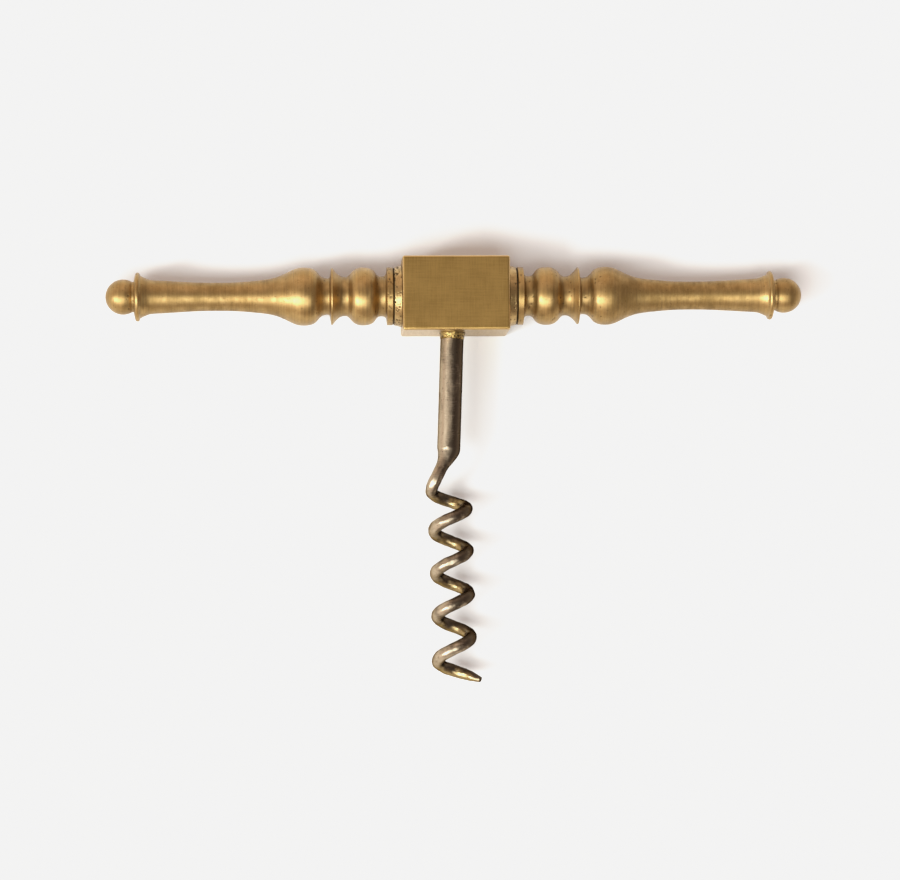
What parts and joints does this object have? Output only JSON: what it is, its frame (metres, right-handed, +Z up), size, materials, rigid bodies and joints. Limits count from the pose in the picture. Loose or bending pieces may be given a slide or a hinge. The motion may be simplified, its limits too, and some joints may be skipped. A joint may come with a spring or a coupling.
{
  "type": "straight-pull corkscrew",
  "caption": "Straight-pull corkscrew: turned brass handle on a rectangular block, with a steel shank and open helical worm.",
  "frame": {"origin": "centre of the block's resting face, with the corkscrew lying flat", "axes": "+X along the handle, -Y from the block along the worm to its point, +Z up from the resting face"},
  "size_m": [0.1306, 0.0792, 0.0132],
  "materials": {
    "block_brass": "cross-brushed satin",
    "ring_brass": "pitted, with dark patina",
    "turned_brass": "satin, with fine turning marks",
    "stud_steel": "plain machined",
    "worm_steel": "forged, dark and slightly glossy",
    "braze": "as cast"
  },
  "bodies": {
    "centre": {"centre_block": "block_brass", "worm": "worm_steel", "braze_fillet": "braze"},
    "left_seat": {"left_seat_ring": "ring_brass"},
    "right_seat": {"right_seat_ring": "ring_brass"},
    "left_handle": {"left_arm": "turned_brass", "left_stud": "stud_steel", "left_end_ball": "turned_brass"},
    "right_handle": {"right_arm": "turned_brass", "right_stud": "stud_steel", "right_end_ball": "turned_brass"}
  },
  "joints": [
    {"name": "left_unscrew", "type": "hinge", "parent": "centre", "child": "left_seat", "pos_m": [-0.01, 0, 0.0066], "axis": [-1, 0, 0], "range_deg": [0, 2700]},
    {"name": "left_draw", "type": "slide", "parent": "left_seat", "child": "left_handle", "axis": [-1, 0, 0], "range_m": [0, 0.0061]},
    {"name": "right_unscrew", "type": "hinge", "parent": "centre", "child": "right_seat", "pos_m": [0.01, 0, 0.0066], "axis": [1, 0, 0], "range_deg": [0, 2700]},
    {"name": "right_draw", "type": "slide", "parent": "right_seat", "child": "right_handle", "axis": [1, 0, 0], "range_m": [0, 0.0061]}
  ],
  "couplings": [
    {"joint": "left_draw", "follows": "left_unscrew", "m_per_rad": 0.00012732},
    {"joint": "right_draw", "follows": "right_unscrew", "m_per_rad": 0.00012732}
  ]
}
